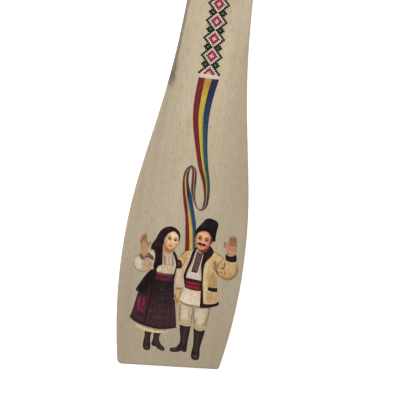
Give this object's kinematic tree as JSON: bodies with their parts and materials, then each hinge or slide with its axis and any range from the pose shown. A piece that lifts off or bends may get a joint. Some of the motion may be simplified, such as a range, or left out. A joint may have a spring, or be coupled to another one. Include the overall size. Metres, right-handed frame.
{
  "type": "decorated wooden spatula",
  "caption": "Flat wooden spatula with a broad blade, a long handle with a hanging hole, and a printed folk couple, ribbon and cross-stitch band.",
  "frame": {"origin": "under the middle of the box round the spatula, on the plane of its flat back", "axes": "+Y up the handle, away from the working edge; +Z out of the printed face; +X to the right as the printed face is seen with the handle up"},
  "size_m": [0.062, 0.3, 0.006],
  "materials": {
    "bare_wood": "smooth sanded pale wood, open short grain, unvarnished",
    "skin_ink": "thin matt print, warm skin tone with soft shading",
    "black_ink": "thin matt print, near black",
    "white_ink": "thin matt print, off white linen",
    "cream_ink": "thin matt print, cream felt",
    "burgundy_ink": "thin matt print, burgundy weave",
    "crimson_ink": "thin matt print, crimson weave",
    "aubergine_ink": "thin matt print, aubergine wool with a faint weave",
    "plum_ink": "thin matt print, plum embroidery",
    "boot_ink": "thin matt print, brown-black leather",
    "ribbon_red_ink": "thin matt print, dark red ribbon",
    "ribbon_yellow_ink": "thin matt print, golden yellow ribbon",
    "ribbon_blue_ink": "thin matt print, deep blue ribbon",
    "stitch_red_ink": "thin matt print of red cross-stitch",
    "stitch_pale_ink": "thin matt print of pale pink cross-stitch",
    "stitch_dark_ink": "thin matt print of green-black cross-stitch"
  },
  "bodies": {
    "root": {"wooden_blank": "bare_wood", "woman_face": "skin_ink", "woman_neck": "skin_ink", "woman_raised_hand": "skin_ink", "woman_right_hand": "skin_ink", "woman_headscarf": "black_ink", "woman_vest": "black_ink", "woman_cuff": "plum_ink", "woman_raised_sleeve": "white_ink", "woman_blouse": "white_ink", "woman_right_sleeve": "white_ink", "woman_sash": "burgundy_ink", "woman_skirt": "aubergine_ink", "woman_side_panel": "crimson_ink", "woman_petticoat": "cream_ink", "woman_boots": "boot_ink", "man_face": "skin_ink", "man_hair": "black_ink", "man_neck": "skin_ink", "man_raised_hand": "skin_ink", "man_hat": "black_ink", "man_coat_trim": "black_ink", "man_cuff": "black_ink", "man_coat": "cream_ink", "man_shirt": "white_ink", "man_shirt_skirt": "white_ink", "man_placket": "plum_ink", "man_waist_sash": "burgundy_ink", "man_trousers": "white_ink", "man_boots": "boot_ink", "ribbon_red": "ribbon_red_ink", "ribbon_yellow": "ribbon_yellow_ink", "ribbon_blue": "ribbon_blue_ink", "stitch_red": "stitch_red_ink", "stitch_hearts": "stitch_pale_ink", "stitch_pale": "stitch_pale_ink", "stitch_dark": "stitch_dark_ink"}
  },
  "joints": []
}
